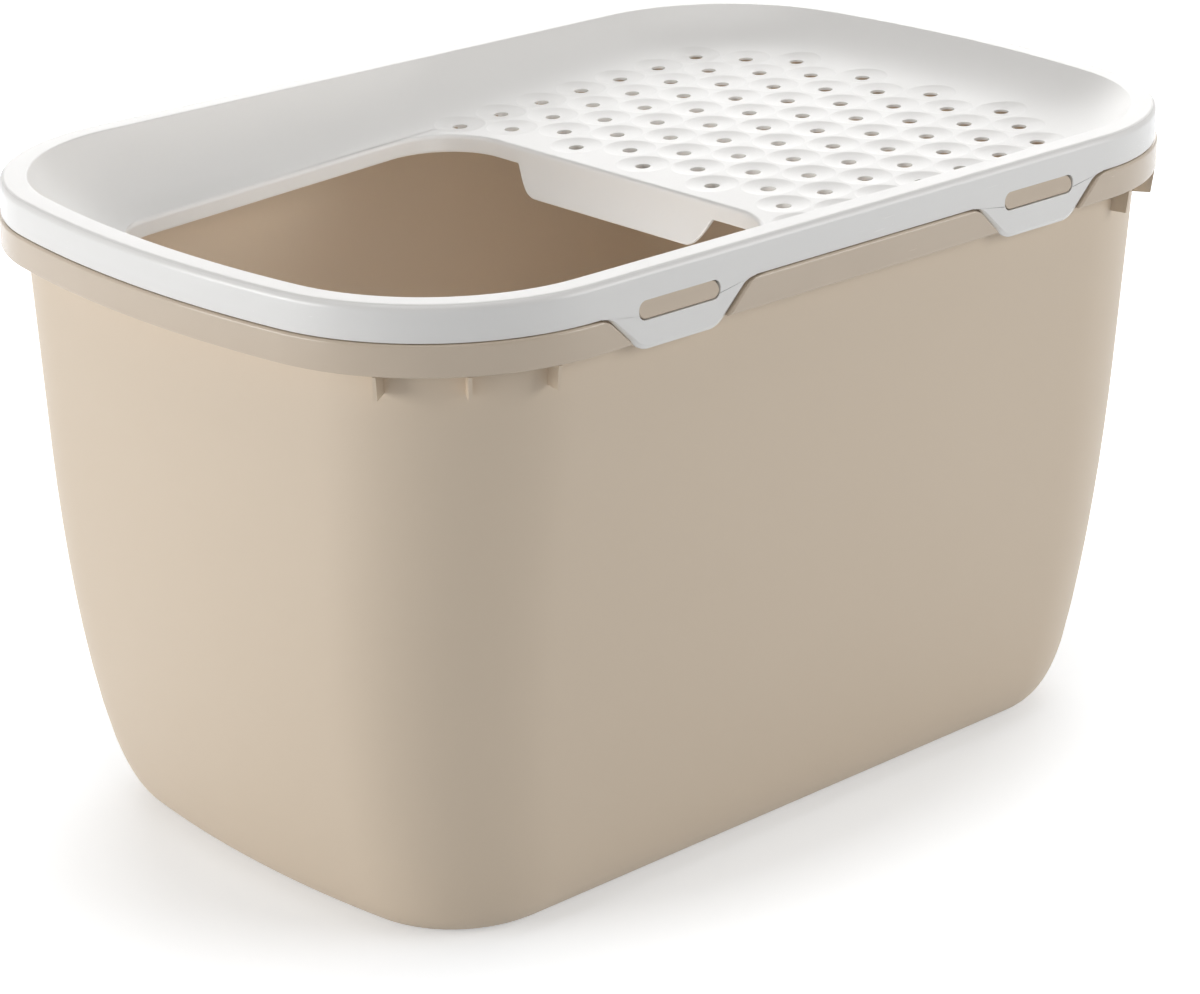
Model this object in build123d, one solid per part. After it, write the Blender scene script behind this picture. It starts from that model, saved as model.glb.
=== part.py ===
from build123d import *
import os
from math import atan2, cos, pi, radians, sin, sqrt, tan

# A top entry litter box: an open moulded tub, and a lid that clips onto the tub's rim.
# The origin is at the bottom centre. +X is the length, with the entry opening towards -X
# and the perforated deck towards +X. +Y is the width, and +Z is up. Sizes are in mm.

# Overall size
length = 600.0            # over the tub's rim band
width = 394.0             # over the tub's rim band
height = 345.0            # floor to the top of the lid's rim

# Clearances
rest_gap = 0.3            # between the lid's skirt and the ledge that it rests on
slide_gap = 0.9           # between walls that pass each other when the lid lifts
catch_gap = 0.5           # between a catch and its slot, all round
notch_gap = 0.8           # between a clip's sides and the rim band
cut_past = 1.0            # cuts run this far past the faces that they open

# Plan shape of the rim, which every parallel outline follows
end_bow_radius = 640.0    # the two short ends bow outwards
rim_corner_radius = 113.0

# Tub shell
tub_wall = 2.4
tub_floor = 2.8
side_overhang = 9.7       # the rim band stands this far outside the long walls
end_overhang = 16.5       # and this far outside the short walls
side_draft = 0.105        # the long walls lean in by this much per mm of depth
end_draft = 0.031
side_foot_in = 23.0       # rounding of the long walls into the floor, inwards
side_foot_up = 37.0       # and upwards
end_foot_in = 40.0        # the short walls sweep in over most of their height
end_foot_up = 204.0
wall_corner_radius = 95.0   # level with the rim band's lower edge
foot_corner_radius = 71.0   # at the floor, before the foot is rounded

# Tub rim
band_height = 15.9
band_thickness = 2.4
band_shoulder = 1.5       # rounding of the band's top edge
ledge_thickness = 2.4
upstand_height = 11.5     # the lip above the ledge that stands inside the lid's skirt
upstand_thickness = 2.4
rib_thickness = 1.8
rib_drop = 12.0           # how far a corner rib hangs below the band
rib_taper = 1.6           # its outer edge leans in by this much
rib_angles = (34.4, 56.8, 79.0)   # about the corner's centre, from the length
back_left_rib_angles = rib_angles[1:]       # the one corner without the first of them
rib_in = 0.4              # its outer edge, below the band, from the band's face

# Lid rim
skirt_height = 18.2       # from the ledge to the top of the rim
skirt_in = 1.2            # the skirt's face lies this far inside the rim band
skirt_thickness = 2.5
rim_edge_radius = 3.5
rim_land = 15.0           # from the rim band's face to the inner edge of the lid's rim

# Lid tray
tray_sweep = 47.0         # plan width of the hollow sweep from the rim down to the tray
tray_depth = 26.3         # under the rim, at the middle of the length
tray_rise = 2.2           # degrees, up towards the deck end
sweep_turn = 56.5         # degrees, the sweep's slope at the rim
tray_thickness = 2.4
sweep_lead = 6.0          # the sweep is carried on past the rim and trimmed there

# Entry opening and its collar, on the tray
entry_edge = 12.0         # the opening's cross edge, towards the deck
entry_end = 240.0         # its far edge, from the middle of the length
entry_half = 134.0        # half width at the cross edge
entry_far_half = 128.0    # half width at the far edge
entry_corner_radius = 40.0
entry_bow = 14.0          # how far the far edge bows out
collar_thickness = 2.2
collar_depth = 8.6
collar_edge_radius = 1.2
chute_radius = 60.0       # the deep lip at the cross edge curves into the opening
chute_turn = 21.5         # degrees of that curve
chute_half = 63.0         # half width of the lip at its full depth
chute_rise = 12.0         # the lip comes back up to the collar over this width

# Perforated deck
deck_in = 15.0            # the deck panel reaches this far into the sweep's foot
deck_edge = 4.0           # the panel's cross edge, on each side of the opening
deck_thickness = 4.0
deck_margin = 4.0         # the thicker plate stays this far inside the sweep
deck_lap = 1.0            # and is joined to the tray over this depth
hole_radius = 4.0
dish_radius = 13.5
dish_depth = 1.2
dish_lift = 0.1           # a dish's slope is carried this far above the panel
dish_clear = 4.0          # and cut straight up from there, clear of the sweep
hole_pitch = 30.3         # along a row
row_pitch = 26.2          # from row to row
first_hole = 18.8         # the first hole of an end row
holes_per_row = 7
row_shifts = (0, 1, 2, 1, 2, 1, 2, 1, 2, 1, 0)   # start of each row, in half pitches

# Clips and catches
clip_x = 127.2            # from the middle of the length
clip_foot_half = 29.8     # half width where the clip passes the band's lower edge
clip_drop = 4.7           # below the band's lower edge
clip_slant = 45.0         # degrees, of the clip's sides from upright
clip_foot_radius = 9.0
clip_half = 50.0          # half width of the strip of skirt that bends with the clip
clip_rise = 6.2           # the bend line's height above the ledge
clip_seam = 0.3           # between the clip and the skirt around it
slot_length = 52.4
slot_height = 9.6
slot_drop = 1.2           # from the ledge down to the slot's centre line
catch_top_reach = 1.9     # how far a catch stands out at its top
catch_foot_reach = 3.5    # and at its foot, which holds the clip down
catch_bevel = 0.6

# Levels and sizes that follow
half_length = length / 2
half_width = width / 2
ledge_z = height - skirt_height
band_z = ledge_z - band_height
shell_top = ledge_z - ledge_thickness
skirt_z = ledge_z + rest_gap
skirt_back = skirt_in + skirt_thickness
upstand_in = skirt_back + slide_gap
upstand_back = upstand_in + upstand_thickness
bend_z = ledge_z + clip_rise
slot_z = ledge_z - slot_drop
rim_in_plan = (half_length, half_width, end_bow_radius, rim_corner_radius)


def corner_centre(a, b, end_radius, corner_radius):
    """Centre of the corner arc that is tangent to a straight side and a bowed end."""
    reach = sqrt((end_radius - corner_radius) ** 2 - (b - corner_radius) ** 2)
    return a - end_radius + reach, b - corner_radius


def plan_face(a, b, end_radius, corner_radius):
    """Face with straight long sides, bowed ends and round corners, all tangent."""
    cx, cy = corner_centre(a, b, end_radius, corner_radius)
    turn = atan2(cy, cx - (a - end_radius))
    tx = a - end_radius + end_radius * cos(turn)
    ty = end_radius * sin(turn)
    half_turn = (turn + pi / 2) / 2
    mx = cx + corner_radius * cos(half_turn)
    my = cy + corner_radius * sin(half_turn)
    edges = [
        Line((cx, b), (-cx, b)),
        ThreePointArc((-cx, b), (-mx, my), (-tx, ty)),
        ThreePointArc((-tx, ty), (-a, 0), (-tx, -ty)),
        ThreePointArc((-tx, -ty), (-mx, -my), (-cx, -b)),
        Line((-cx, -b), (cx, -b)),
        ThreePointArc((cx, -b), (mx, -my), (tx, -ty)),
        ThreePointArc((tx, -ty), (a, 0), (tx, ty)),
        ThreePointArc((tx, ty), (mx, my), (cx, b)),
    ]
    return Face(Wire(edges))


def rim_face(inset):
    """The rim's plan outline, moved inwards by inset."""
    return plan_face(*[size - inset for size in rim_in_plan])


def slab(inset, z_low, z_high):
    """A plate with the rim's plan outline."""
    return extrude(Pos(0, 0, z_low) * rim_face(inset), amount=z_high - z_low)


def ring(inset_out, inset_in, z_low, z_high):
    """A wall that follows the rim between two insets."""
    return slab(inset_out, z_low, z_high) - slab(inset_in, z_low, z_high)


def on_side(points, inset_near, inset_far):
    """Extrude an XZ outline between two insets of the straight side at -Y."""
    face = make_face(Polyline(*points, close=True))
    prism = extrude(Plane.XZ * face, amount=inset_far - inset_near)
    return Pos(0, inset_far - half_width, 0) * prism


def four_places(shape):
    """Copies of a part made at -X, -Y, mirrored to the other places."""
    back = mirror(shape, Plane.XZ)
    return {
        "front_left": shape,
        "front_right": mirror(shape, Plane.YZ),
        "back_left": back,
        "back_right": mirror(back, Plane.YZ),
    }


# Tub

def foot_rounding(reach_in, reach_up, z):
    """How far an elliptical rounding into the floor has pulled a wall in at height z."""
    share = max(1 - z / reach_up, 0.0)
    return reach_in * (1 - sqrt(1 - share * share))


def tub_section(z, inset=0.0, lift=0.0):
    """The tub's plan face at height z; inset and lift give the inner surface."""
    depth = band_z - z
    side_foot = foot_rounding(side_foot_in, side_foot_up, z)
    end_foot = foot_rounding(end_foot_in, end_foot_up, z)
    a = half_length - end_overhang - depth * end_draft - end_foot
    b = half_width - side_overhang - depth * side_draft - side_foot
    lean = (wall_corner_radius - foot_corner_radius) / band_z
    corner = wall_corner_radius - depth * lean - side_foot
    return Pos(0, 0, z + lift) * plan_face(
        a - inset, b - inset, end_bow_radius - inset, corner - inset
    )


def tub_levels():
    """Heights of the tub's sections, closer together where the foot is rounded."""
    steps = 6
    foot = [side_foot_up * (1 - cos(pi / 2 * i / steps)) for i in range(steps + 1)]
    rise = end_foot_up - side_foot_up
    middle = [side_foot_up + rise * (i / 5) for i in range(1, 6)]
    return foot + middle + [(end_foot_up + shell_top) / 2, shell_top]


def tub_shell():
    outer = loft([tub_section(z) for z in tub_levels()])
    inner = loft([tub_section(z, tub_wall, tub_floor) for z in tub_levels()])
    return outer - inner


def clip_points(z_low, z_high, grow=0.0):
    """A clip's sloping sides between two heights, widened by grow on each side."""
    slope = tan(radians(clip_slant))
    wider = clip_foot_half + grow / cos(radians(clip_slant))
    low = wider + (z_low - band_z) * slope
    high = wider + (z_high - band_z) * slope
    return [(-low, z_low), (low, z_low), (high, z_high), (-high, z_high)]


def clip_notch():
    """The opening in the band and ledge that a clip hangs through, at x = 0."""
    points = clip_points(band_z - cut_past, ledge_z + cut_past, notch_gap)
    return on_side(points, -cut_past, upstand_in)


def tub_rim():
    """The ledge, the band that hangs from it, and the upstand inside the lid's skirt."""
    band = slab(0, band_z, ledge_z)
    band = fillet(band.faces().sort_by(Axis.Z)[-1].edges(), band_shoulder)
    band -= slab(band_thickness, band_z, shell_top)
    upstand = ring(upstand_in, upstand_back, ledge_z, ledge_z + upstand_height)
    well = extrude(tub_section(shell_top - tub_floor, tub_wall, tub_floor), amount=ledge_thickness)
    rim = band + upstand - well
    for notch in four_places(Pos(-clip_x, 0, 0) * clip_notch()).values():
        rim -= notch
    return rim


def corner_ribs(angles):
    """Three thin radial plates under the band, at the -X, -Y corner."""
    cx, cy = corner_centre(*rim_in_plan)
    reach = rim_corner_radius - rib_in
    low = band_z - rib_drop
    root = wall_corner_radius - side_overhang
    profile = make_face(
        Polyline(
            (root, shell_top),
            (rim_corner_radius, shell_top),
            (rim_corner_radius, band_z),
            (reach, band_z),
            (reach - rib_taper, low),
            (root, low),
            close=True,
        )
    )
    plate = extrude(Plane.XZ * profile, amount=rib_thickness / 2, both=True)
    tub = loft([tub_section(z) for z in tub_levels()])
    inside_band = slab(band_thickness, band_z, shell_top) + slab(rib_in, low, band_z)
    ribs = []
    for angle in angles:
        rib = Pos(-cx, -cy, 0) * Rot(0, 0, 180 + angle) * plate
        ribs.append((rib & inside_band) - tub)
    return Compound(ribs)


def catch():
    """A pocket behind a clip, and the nose that fills the clip's slot, at x = 0."""
    side_wall = band_thickness + notch_gap
    pocket = on_side(clip_points(band_z, shell_top, side_wall), band_thickness, upstand_back)
    points = clip_points(band_z - cut_past, shell_top + cut_past, notch_gap)
    pocket -= on_side(points, 0, upstand_in)
    outline = SlotOverall(slot_length - 2 * catch_gap, slot_height - 2 * catch_gap)
    nose = extrude(Plane.XZ * outline, amount=catch_foot_reach)
    nose = chamfer(nose.edges().group_by(Axis.Y)[0], catch_bevel)
    nose = Pos(0, upstand_in - half_width, slot_z) * nose
    top = slot_z + slot_height / 2 - catch_gap
    foot = slot_z - slot_height / 2 + catch_gap
    face_y = upstand_in - half_width
    ramp = Polyline(
        (face_y - catch_top_reach, top),
        (face_y - catch_foot_reach, foot),
        (face_y - catch_foot_reach - cut_past, foot),
        (face_y - catch_foot_reach - cut_past, top),
        close=True,
    )
    nose -= extrude(Plane.YZ * make_face(ramp), amount=slot_length, both=True)
    return pocket + nose


# Lid

def clip():
    """A strip of the lid's skirt with its hanging tab and slot, at x = 0."""
    foot_z = band_z - clip_drop
    tab = on_side(clip_points(foot_z, skirt_z), skirt_in, skirt_back)
    corners = tab.edges().filter_by(Axis.Y).sort_by(Axis.Z)[:2]
    tab = fillet(corners, clip_foot_radius)
    top = bend_z - clip_seam
    half = clip_half - clip_seam
    strip_points = [(-half, skirt_z), (half, skirt_z), (half, top), (-half, top)]
    strip = on_side(strip_points, skirt_in, skirt_back)
    slot = extrude(Plane.XZ * SlotOverall(slot_length, slot_height), amount=2 * skirt_back)
    return tab + strip - Pos(0, skirt_back - half_width, slot_z) * slot


def lid_rim():
    """The skirt and the flat land around the lid, with gaps for the four clips."""
    rim = slab(skirt_in, skirt_z, height)
    rim = fillet(rim.faces().sort_by(Axis.Z)[-1].edges(), rim_edge_radius)
    rim -= slab(skirt_back, skirt_z, height - skirt_thickness)
    rim -= slab(rim_land, skirt_z, height)
    points = [
        (-clip_half, skirt_z - cut_past),
        (clip_half, skirt_z - cut_past),
        (clip_half, bend_z),
        (-clip_half, bend_z),
    ]
    gap = on_side(points, 0, skirt_back + slide_gap / 2)
    for cut in four_places(Pos(-clip_x, 0, 0) * gap).values():
        rim -= cut
    return rim


def sweep_section(turn, drop=0.0, lead=0.0):
    """Section of the tray's hollow where its sweep has turned by an angle in degrees."""
    full = radians(sweep_turn)
    angle = radians(turn)
    up = (1 - cos(angle)) / (1 - cos(full))
    out = sin(angle) / sin(full)
    inset = rim_land + tray_sweep * (1 - out) - drop * sin(angle) - lead * cos(angle)
    z = height - tray_depth * (1 - up) - drop * cos(angle) + lead * sin(angle)
    return Pos(0, 0, z) * Rot(0, -tray_rise * (1 - up), 0) * rim_face(inset)


def sweep_solid(drop):
    """Everything above the tray's surface, or above its underside if drop is its wall."""
    steps = 5
    turns = [sweep_turn * i / steps for i in range(steps + 1)]
    sections = [sweep_section(turn, drop) for turn in turns]
    return loft(sections + [sweep_section(sweep_turn, drop, sweep_lead)])


def tray_place():
    """The tray floor's own frame, with its top surface at z = 0."""
    return Pos(0, 0, height - tray_depth) * Rot(0, -tray_rise, 0)


def entry_face(grow=0.0):
    """The entry opening in the tray's own frame, grown outwards."""
    near_x = entry_edge + grow
    far_x = -entry_end - grow + entry_bow
    near_y = entry_half + grow
    far_y = entry_far_half + grow
    outline = Wire(
        [
            Line((near_x, -near_y), (near_x, near_y)),
            Line((near_x, near_y), (far_x, far_y)),
            ThreePointArc((far_x, far_y), (-entry_end - grow, 0), (far_x, -far_y)),
            Line((far_x, -far_y), (near_x, -near_y)),
        ]
    )
    face = Face(outline)
    return fillet(face.vertices(), entry_corner_radius + grow)


def entry_cut():
    """The hole in the tray and deck that the collar stands in."""
    cut = extrude(entry_face(collar_thickness), amount=collar_depth, both=True)
    return tray_place() * cut


def deck_region():
    """The space that the deck panel takes out of the tray."""
    reach = slab(rim_land + tray_sweep - deck_in, 0, height)
    return reach & Pos(deck_edge + half_length, 0, height / 2) * Box(length, width, height)


def lid_tray_full():
    tray = (sweep_solid(tray_thickness) - sweep_solid(0)) & slab(rim_land, 0, height)
    return tray - entry_cut()


def lid_deck(tray):
    """The perforated panel, with a shallow tapered dish around each hole."""
    under = rim_face(rim_land + tray_sweep + deck_margin)
    plate = Pos(0, 0, -deck_lap) * extrude(under, amount=deck_lap - deck_thickness)
    plate = (tray_place() * plate & deck_region()) - entry_cut()
    panel = (tray & deck_region()) + plate
    mouth = dish_radius + dish_lift * (dish_radius - hole_radius) / dish_depth
    dish = Pos(0, 0, (dish_lift - dish_depth) / 2) * Cone(hole_radius, mouth, dish_depth + dish_lift)
    dish += Pos(0, 0, dish_lift + dish_clear / 2) * Cylinder(mouth, dish_clear)
    rows = len(row_shifts)
    holes = []
    dishes = []
    for row, shift in enumerate(row_shifts):
        y = ((rows - 1) / 2 - row) * row_pitch
        for hole in range(holes_per_row):
            place = tray_place() * Pos(first_hole + (shift / 2 + hole) * hole_pitch, y, 0)
            holes.append(place * Cylinder(hole_radius, 6 * deck_thickness))
            dishes.append(place * dish)
    return panel - holes - dishes


def chute():
    """The deep curved lip under the opening's cross edge, in the tray's own frame."""
    outer = chute_radius + collar_thickness
    centre_x = entry_edge - chute_radius
    top = -collar_edge_radius
    end = radians(chute_turn)
    mid = end / 2
    profile = Wire(
        [
            ThreePointArc(
                (chute_radius, 0),
                (chute_radius * cos(mid), -chute_radius * sin(mid)),
                (chute_radius * cos(end), -chute_radius * sin(end)),
            ),
            Line(
                (chute_radius * cos(end), -chute_radius * sin(end)),
                (outer * cos(end), -outer * sin(end)),
            ),
            ThreePointArc(
                (outer * cos(end), -outer * sin(end)),
                (outer * cos(mid), -outer * sin(mid)),
                (outer, 0),
            ),
            Line((outer, 0), (chute_radius, 0)),
        ]
    )
    full = chute_half + chute_rise
    sheet = extrude(Plane.XZ * Face(profile), amount=full, both=True)
    sheet = Pos(centre_x, 0, top) * sheet
    deep = top - outer * sin(end) - cut_past
    half_rise = chute_half + chute_rise / 2
    trim = Wire(
        [
            Line((-full, 0), (full, 0)),
            Line((full, 0), (full, -collar_depth)),
            Spline(
                (full, -collar_depth),
                (half_rise, (deep - collar_depth) / 2),
                (chute_half, deep),
                tangents=[(-1, 0), (-1, 0)],
            ),
            Line((chute_half, deep), (-chute_half, deep)),
            Spline(
                (-chute_half, deep),
                (-half_rise, (deep - collar_depth) / 2),
                (-full, -collar_depth),
                tangents=[(-1, 0), (-1, 0)],
            ),
            Line((-full, -collar_depth), (-full, 0)),
        ]
    )
    return sheet & extrude(Plane.YZ * Face(trim), amount=length, both=True)


def entry_collar():
    """The short wall around the opening, with the deep lip at its cross edge."""
    wall = extrude(entry_face(collar_thickness), amount=-collar_depth)
    hole = extrude(entry_face(), amount=-collar_depth)
    wall -= hole
    top = wall.faces().sort_by(Axis.Z)[-1]
    wall = fillet(top.inner_wires()[0].edges(), collar_edge_radius)
    return tray_place() * (wall + chute())


def main():
    os.makedirs("parts", exist_ok=True)
    nodes = {"tub_shell": tub_shell(), "tub_rim": tub_rim()}
    ribs = four_places(corner_ribs(rib_angles))
    ribs["back_left"] = four_places(corner_ribs(back_left_rib_angles))["back_left"]
    for place, shape in ribs.items():
        nodes["ribs_" + place] = shape
    for place, shape in four_places(Pos(-clip_x, 0, 0) * catch()).items():
        nodes["catch_" + place] = shape
    for place, shape in four_places(Pos(-clip_x, 0, 0) * clip()).items():
        nodes["clip_" + place] = shape
    tray = lid_tray_full()
    nodes["lid_rim"] = lid_rim()
    nodes["lid_tray"] = tray - deck_region()
    nodes["lid_deck"] = lid_deck(tray)
    nodes["entry_collar"] = entry_collar()
    for name, shape in nodes.items():
        export_step(shape, "parts/" + name + ".step")


main()
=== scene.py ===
import bpy
import bmesh
from math import acos, asin, atan2, cos, pi, radians, sin, sqrt, tan
from mathutils import Matrix, Vector


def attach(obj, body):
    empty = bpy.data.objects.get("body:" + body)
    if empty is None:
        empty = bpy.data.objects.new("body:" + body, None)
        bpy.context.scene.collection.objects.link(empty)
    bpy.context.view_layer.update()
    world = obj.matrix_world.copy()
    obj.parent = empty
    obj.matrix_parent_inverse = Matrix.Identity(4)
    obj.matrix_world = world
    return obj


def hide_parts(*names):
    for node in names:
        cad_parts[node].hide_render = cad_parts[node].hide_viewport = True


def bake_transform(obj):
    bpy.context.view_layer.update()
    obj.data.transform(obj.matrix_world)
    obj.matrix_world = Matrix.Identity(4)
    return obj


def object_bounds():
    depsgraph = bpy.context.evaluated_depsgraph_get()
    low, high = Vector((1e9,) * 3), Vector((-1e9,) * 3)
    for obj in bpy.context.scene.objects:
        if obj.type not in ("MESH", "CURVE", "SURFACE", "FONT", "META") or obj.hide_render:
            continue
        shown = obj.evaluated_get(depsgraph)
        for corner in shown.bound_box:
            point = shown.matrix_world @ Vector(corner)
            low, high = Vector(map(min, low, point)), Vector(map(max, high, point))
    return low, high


# Top entry litter box: a beige moulded tub and a white lid that clips onto it.
# X is the length with the entry at -X, Y the width, Z up. Lengths in the dictionaries are
# in millimetres, and mm() turns them into the scene's metres.

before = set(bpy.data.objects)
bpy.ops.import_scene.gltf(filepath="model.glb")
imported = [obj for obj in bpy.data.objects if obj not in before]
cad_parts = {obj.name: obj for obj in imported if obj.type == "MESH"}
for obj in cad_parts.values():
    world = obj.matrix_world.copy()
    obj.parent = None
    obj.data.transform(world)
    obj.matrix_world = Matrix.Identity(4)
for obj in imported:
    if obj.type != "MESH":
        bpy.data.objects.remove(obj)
cadBox = [list(corner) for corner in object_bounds()]
places = ("front_left", "front_right", "back_left", "back_right")


def mm(value):
    return value * 0.001


overall = {
    "halfLength": (cadBox[1][0] - cadBox[0][0]) * 500,
    "halfWidth": (cadBox[1][1] - cadBox[0][1]) * 500,
    "height": cadBox[1][2] * 1000,
    "endBow": 640.0,          # radius of the short ends
    "cornerRadius": 113.0,
}


mergeDistance = 0.000002      # metres


# small helpers for modelling by operators

def deselectAll():
    if bpy.context.object and bpy.context.object.mode != "OBJECT":
        bpy.ops.object.mode_set(mode="OBJECT")
    bpy.ops.object.select_all(action="DESELECT")


def pick(piece):
    deselectAll()
    piece.select_set(True)
    bpy.context.view_layer.objects.active = piece
    return piece


def namedPrimitive(name):
    piece = bpy.context.object
    piece.name = name
    piece.data.name = name
    return piece


def cleanUp(piece):
    pick(piece)
    bpy.ops.object.mode_set(mode="EDIT")
    bpy.ops.mesh.select_all(action="SELECT")
    bpy.ops.mesh.remove_doubles(threshold=mergeDistance)
    bpy.ops.mesh.normals_make_consistent(inside=False)
    bpy.ops.object.mode_set(mode="OBJECT")
    return piece


def cutWith(piece, cutters):
    # each cutter takes its shape out of the piece and is then thrown away
    for cutter in cutters:
        pick(piece)
        step = piece.modifiers.new("cut", "BOOLEAN")
        step.operation = "DIFFERENCE"
        step.solver = "MANIFOLD"
        step.object = cutter
        bpy.ops.object.modifier_apply(modifier=step.name)
        bpy.data.objects.remove(cutter)
    return piece


def smooth(piece, angle=28, crisp=None):
    # large flat faces keep their own direction, so that only the curves between them blend
    pick(piece)
    bpy.ops.object.shade_smooth_by_angle(angle=radians(angle))
    if crisp is not None:
        mesh = bmesh.new()
        mesh.from_mesh(piece.data)
        for edge in mesh.edges:
            if edge.calc_face_angle(0) > radians(4) and crisp(edge):
                edge.smooth = False
        mesh.to_mesh(piece.data)
        mesh.free()
    step = piece.modifiers.new("weights", "WEIGHTED_NORMAL")
    step.keep_sharp = True
    step.weight = 80
    bpy.ops.object.modifier_apply(modifier=step.name)
    return piece


def joined(name, pieces):
    deselectAll()
    for piece in pieces:
        piece.select_set(True)
    bpy.context.view_layer.objects.active = pieces[0]
    if len(pieces) > 1:
        bpy.ops.object.join()
    return namedPrimitive(name)


# plan outlines: every ring is sampled on the same eight stretches, so that rings match

ringCounts = {"nearEnd": 72, "corner": 22, "side": 26, "farEnd": 36}


def spread(count):
    return [i / count for i in range(count)]


def arcPoints(cx, cy, radius, startAngle, endAngle, count):
    return [
        (cx + radius * cos(startAngle + (endAngle - startAngle) * t),
         cy + radius * sin(startAngle + (endAngle - startAngle) * t))
        for t in spread(count)
    ]


def linePoints(start, end, count):
    return [
        (start[0] + (end[0] - start[0]) * t, start[1] + (end[1] - start[1]) * t)
        for t in spread(count)
    ]


def planOutline(a, b, endRadius, cornerRadius):
    # straight long sides, bowed ends, round corners; starts at the +X end, at -Y
    reach = sqrt((endRadius - cornerRadius) ** 2 - (b - cornerRadius) ** 2)
    cx = a - endRadius + reach
    cy = b - cornerRadius
    turn = atan2(cy, reach)
    points = arcPoints(a - endRadius, 0, endRadius, -turn, turn, ringCounts["nearEnd"])
    points += arcPoints(cx, cy, cornerRadius, turn, pi / 2, ringCounts["corner"])
    points += linePoints((cx, b), (-cx, b), ringCounts["side"])
    points += arcPoints(-cx, cy, cornerRadius, pi / 2, pi - turn, ringCounts["corner"])
    points += arcPoints(endRadius - a, 0, endRadius, pi - turn, pi + turn, ringCounts["farEnd"])
    points += arcPoints(-cx, -cy, cornerRadius, pi + turn, 1.5 * pi, ringCounts["corner"])
    points += linePoints((-cx, -b), (cx, -b), ringCounts["side"])
    points += arcPoints(cx, -cy, cornerRadius, -pi / 2, -turn, ringCounts["corner"])
    return points


def rimOutline(inset):
    return planOutline(
        overall["halfLength"] - inset,
        overall["halfWidth"] - inset,
        overall["endBow"] - inset,
        overall["cornerRadius"] - inset,
    )


def shapeRings(name, rings, startPole=None, endPole=None):
    # a torus or a sphere gives the closed surface, and each of its loops is laid on one ring
    count = len(rings[0])
    deselectAll()
    if startPole is None:
        bpy.ops.mesh.primitive_torus_add(
            major_segments=count, minor_segments=len(rings), major_radius=1, minor_radius=0.4
        )
    else:
        bpy.ops.mesh.primitive_uv_sphere_add(
            segments=count, ring_count=len(rings) + 1, radius=1
        )
    piece = namedPrimitive(name)
    for vertex in piece.data.vertices:
        x, y, z = vertex.co
        along = round(atan2(y, x) / (2 * pi) * count) % count
        if startPole is None:
            around = atan2(z, sqrt(x * x + y * y) - 1)
            ring = round(around / (2 * pi) * len(rings)) % len(rings)
            place = rings[ring][along]
        else:
            ring = round(acos(max(-1.0, min(1.0, -z))) / pi * (len(rings) + 1))
            if ring == 0:
                place = startPole
            elif ring == len(rings) + 1:
                place = endPole
            else:
                place = rings[ring - 1][along]
        vertex.co = [mm(value) for value in place]
    return cleanUp(piece)


def level(outline, z):
    return [(x, y, z) for x, y in outline]


def addNode(tree, kind, **settings):
    node = tree.nodes.new(kind)
    for key, value in settings.items():
        setattr(node, key, value)
    return node


def setInputs(node, **values):
    for key, value in values.items():
        node.inputs[key.replace("_", " ")].default_value = value


def newGroup(name, inputs, outputs):
    group = bpy.data.node_groups.new(name, "ShaderNodeTree")
    for label, kind, value in inputs:
        socket = group.interface.new_socket(label, in_out="INPUT", socket_type=kind)
        if value is not None:
            socket.default_value = value
    for label, kind in outputs:
        group.interface.new_socket(label, in_out="OUTPUT", socket_type=kind)
    start = addNode(group, "NodeGroupInput")
    end = addNode(group, "NodeGroupOutput")
    return group, start, end


def noiseNode(tree, vector, scale, detail=2.0, roughness=0.5, distortion=0.0):
    node = addNode(tree, "ShaderNodeTexNoise")
    setInputs(node, Scale=scale, Detail=detail, Roughness=roughness, Distortion=distortion)
    if vector is not None:
        tree.links.new(vector, node.inputs["Vector"])
    return node


def mathNode(tree, operation, first, second=None, clamp=False):
    node = addNode(tree, "ShaderNodeMath", operation=operation, use_clamp=clamp)
    for socket, value in zip(node.inputs, (first, second)):
        if value is None:
            continue
        if isinstance(value, (int, float)):
            socket.default_value = value
        else:
            tree.links.new(value, socket)
    return node.outputs[0]


def rangeNode(tree, value, low, high, toLow, toHigh):
    node = addNode(tree, "ShaderNodeMapRange", clamp=True)
    tree.links.new(value, node.inputs["Value"])
    node.inputs["From Min"].default_value = low
    node.inputs["From Max"].default_value = high
    node.inputs["To Min"].default_value = toLow
    node.inputs["To Max"].default_value = toHigh
    return node.outputs["Result"]


def mixColour(tree, factor, first, second):
    node = addNode(tree, "ShaderNodeMix", data_type="RGBA")
    sockets = (node.inputs[0], node.inputs[6], node.inputs[7])
    for socket, value in zip(sockets, (factor, first, second)):
        if isinstance(value, (int, float)):
            socket.default_value = value
        elif isinstance(value, tuple):
            socket.default_value = (*value, 1.0)
        else:
            tree.links.new(value, socket)
    return node.outputs[2]


def makeGrainGroup():
    # the fine spark-eroded texture of a moulding, with a slow unevenness under it
    group, start, end = newGroup(
        "mouldGrain",
        [("Vector", "NodeSocketVector", None), ("Grain Scale", "NodeSocketFloat", 2400.0),
         ("Wave Scale", "NodeSocketFloat", 14.0), ("Wave Share", "NodeSocketFloat", 0.4)],
        [("Height", "NodeSocketFloat"), ("Mask", "NodeSocketFloat")],
    )
    fine = noiseNode(group, start.outputs["Vector"], 1.0, 3.0, 0.6)
    group.links.new(start.outputs["Grain Scale"], fine.inputs["Scale"])
    wave = noiseNode(group, start.outputs["Vector"], 1.0, 1.0, 0.4)
    group.links.new(start.outputs["Wave Scale"], wave.inputs["Scale"])
    lift = mathNode(group, "MULTIPLY", wave.outputs["Fac"], start.outputs["Wave Share"])
    total = mathNode(group, "ADD", fine.outputs["Fac"], lift)
    group.links.new(total, end.inputs["Height"])
    group.links.new(wave.outputs["Fac"], end.inputs["Mask"])
    return group


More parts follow.
